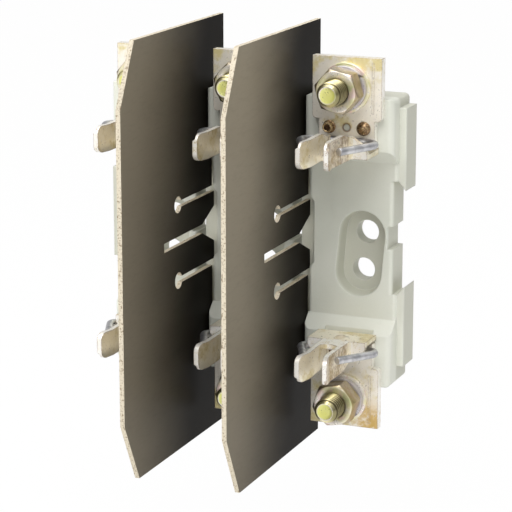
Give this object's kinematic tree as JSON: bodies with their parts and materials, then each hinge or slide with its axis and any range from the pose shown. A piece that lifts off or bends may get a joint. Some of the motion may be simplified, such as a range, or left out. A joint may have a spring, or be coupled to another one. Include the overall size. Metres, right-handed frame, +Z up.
{
  "type": "three-pole fuse base",
  "caption": "Three-pole base for blade fuse-links: moulded poles side by side, sprung jaw contacts and bolt terminals, dark barriers standing between the poles.",
  "frame": {"origin": "on the rear mounting plane, midway between the middle pole's two mounting holes", "axes": "+X to the right across the poles, -Y to the front where the fuse-links are pushed in, +Z up along the fuse-links"},
  "size_m": [0.1038, 0.077, 0.138],
  "materials": {
    "moulding": "pale grey-green moulded thermoset, satin",
    "contact_plating": "tin-plated contact sheet, slightly worn",
    "terminal_plating": "tin-plated copper plate with yellowish patches",
    "spring_wire": "zinc-plated spring wire, satin",
    "rivet_metal": "browned rivet metal",
    "yellow_zinc": "yellow-passivated zinc plating",
    "laminate": "dark brown laminated paper sheet, glossy faces"
  },
  "bodies": {
    "pole_group": {"left_base": "moulding", "left_upper_contact": "contact_plating", "left_upper_terminal_plate": "terminal_plating", "left_upper_spring_clip": "spring_wire", "left_upper_rivets": "rivet_metal", "left_upper_bolt": "yellow_zinc", "left_lower_contact": "contact_plating", "left_lower_terminal_plate": "terminal_plating", "left_lower_spring_clip": "spring_wire", "left_lower_rivets": "rivet_metal", "left_lower_bolt": "yellow_zinc", "middle_base": "moulding", "middle_upper_contact": "contact_plating", "middle_upper_terminal_plate": "terminal_plating", "middle_upper_spring_clip": "spring_wire", "middle_upper_rivets": "rivet_metal", "middle_upper_bolt": "yellow_zinc", "middle_lower_contact": "contact_plating", "middle_lower_terminal_plate": "terminal_plating", "middle_lower_spring_clip": "spring_wire", "middle_lower_rivets": "rivet_metal", "middle_lower_bolt": "yellow_zinc", "right_base": "moulding", "right_upper_contact": "contact_plating", "right_upper_terminal_plate": "terminal_plating", "right_upper_spring_clip": "spring_wire", "right_upper_rivets": "rivet_metal", "right_upper_bolt": "yellow_zinc", "right_lower_contact": "contact_plating", "right_lower_terminal_plate": "terminal_plating", "right_lower_spring_clip": "spring_wire", "right_lower_rivets": "rivet_metal", "right_lower_bolt": "yellow_zinc"},
    "left_upper_washers": {"left_upper_flat_washer": "yellow_zinc", "left_upper_lock_washer": "yellow_zinc"},
    "left_upper_nut": {"left_upper_nut": "yellow_zinc"},
    "left_lower_washers": {"left_lower_flat_washer": "yellow_zinc", "left_lower_lock_washer": "yellow_zinc"},
    "left_lower_nut": {"left_lower_nut": "yellow_zinc"},
    "middle_upper_washers": {"middle_upper_flat_washer": "yellow_zinc", "middle_upper_lock_washer": "yellow_zinc"},
    "middle_upper_nut": {"middle_upper_nut": "yellow_zinc"},
    "middle_lower_washers": {"middle_lower_flat_washer": "yellow_zinc", "middle_lower_lock_washer": "yellow_zinc"},
    "middle_lower_nut": {"middle_lower_nut": "yellow_zinc"},
    "right_upper_washers": {"right_upper_flat_washer": "yellow_zinc", "right_upper_lock_washer": "yellow_zinc"},
    "right_upper_nut": {"right_upper_nut": "yellow_zinc"},
    "right_lower_washers": {"right_lower_flat_washer": "yellow_zinc", "right_lower_lock_washer": "yellow_zinc"},
    "right_lower_nut": {"right_lower_nut": "yellow_zinc"},
    "left_barrier": {"left_phase_barrier": "laminate"},
    "right_barrier": {"right_phase_barrier": "laminate"}
  },
  "joints": [
    {"name": "left_upper_washers_slide", "type": "slide", "parent": "pole_group", "child": "left_upper_washers", "axis": [0, -1, 0], "range_m": [0, 0.005]},
    {"name": "left_upper_nut_spin", "type": "hinge", "parent": "left_upper_washers", "child": "left_upper_nut", "pos_m": [-0.0362, -0.025, 0.0551], "axis": [0, -1, 0], "range_deg": [0, 1441]},
    {"name": "left_lower_washers_slide", "type": "slide", "parent": "pole_group", "child": "left_lower_washers", "axis": [0, -1, 0], "range_m": [0, 0.005]},
    {"name": "left_lower_nut_spin", "type": "hinge", "parent": "left_lower_washers", "child": "left_lower_nut", "pos_m": [-0.0362, -0.025, -0.0459], "axis": [0, -1, 0], "range_deg": [0, 1441]},
    {"name": "middle_upper_washers_slide", "type": "slide", "parent": "pole_group", "child": "middle_upper_washers", "axis": [0, -1, 0], "range_m": [0, 0.005]},
    {"name": "middle_upper_nut_spin", "type": "hinge", "parent": "middle_upper_washers", "child": "middle_upper_nut", "pos_m": [-0.0022, -0.025, 0.0551], "axis": [0, -1, 0], "range_deg": [0, 1441]},
    {"name": "middle_lower_washers_slide", "type": "slide", "parent": "pole_group", "child": "middle_lower_washers", "axis": [0, -1, 0], "range_m": [0, 0.005]},
    {"name": "middle_lower_nut_spin", "type": "hinge", "parent": "middle_lower_washers", "child": "middle_lower_nut", "pos_m": [-0.0022, -0.025, -0.0459], "axis": [0, -1, 0], "range_deg": [0, 1441]},
    {"name": "right_upper_washers_slide", "type": "slide", "parent": "pole_group", "child": "right_upper_washers", "axis": [0, -1, 0], "range_m": [0, 0.005]},
    {"name": "right_upper_nut_spin", "type": "hinge", "parent": "right_upper_washers", "child": "right_upper_nut", "pos_m": [0.0318, -0.025, 0.0551], "axis": [0, -1, 0], "range_deg": [0, 1441]},
    {"name": "right_lower_washers_slide", "type": "slide", "parent": "pole_group", "child": "right_lower_washers", "axis": [0, -1, 0], "range_m": [0, 0.005]},
    {"name": "right_lower_nut_spin", "type": "hinge", "parent": "right_lower_washers", "child": "right_lower_nut", "pos_m": [0.0318, -0.025, -0.0459], "axis": [0, -1, 0], "range_deg": [0, 1441]},
    {"name": "left_barrier_slide", "type": "slide", "parent": "pole_group", "child": "left_barrier", "axis": [0, -1, 0], "range_m": [0, 0.045]},
    {"name": "right_barrier_slide", "type": "slide", "parent": "pole_group", "child": "right_barrier", "axis": [0, -1, 0], "range_m": [0, 0.045]}
  ],
  "couplings": [
    {"joint": "left_upper_nut_spin", "follows": "left_upper_washers_slide", "rad_per_m": 5026.5},
    {"joint": "left_lower_nut_spin", "follows": "left_lower_washers_slide", "rad_per_m": 5026.5},
    {"joint": "middle_upper_nut_spin", "follows": "middle_upper_washers_slide", "rad_per_m": 5026.5},
    {"joint": "middle_lower_nut_spin", "follows": "middle_lower_washers_slide", "rad_per_m": 5026.5},
    {"joint": "right_upper_nut_spin", "follows": "right_upper_washers_slide", "rad_per_m": 5026.5},
    {"joint": "right_lower_nut_spin", "follows": "right_lower_washers_slide", "rad_per_m": 5026.5}
  ]
}
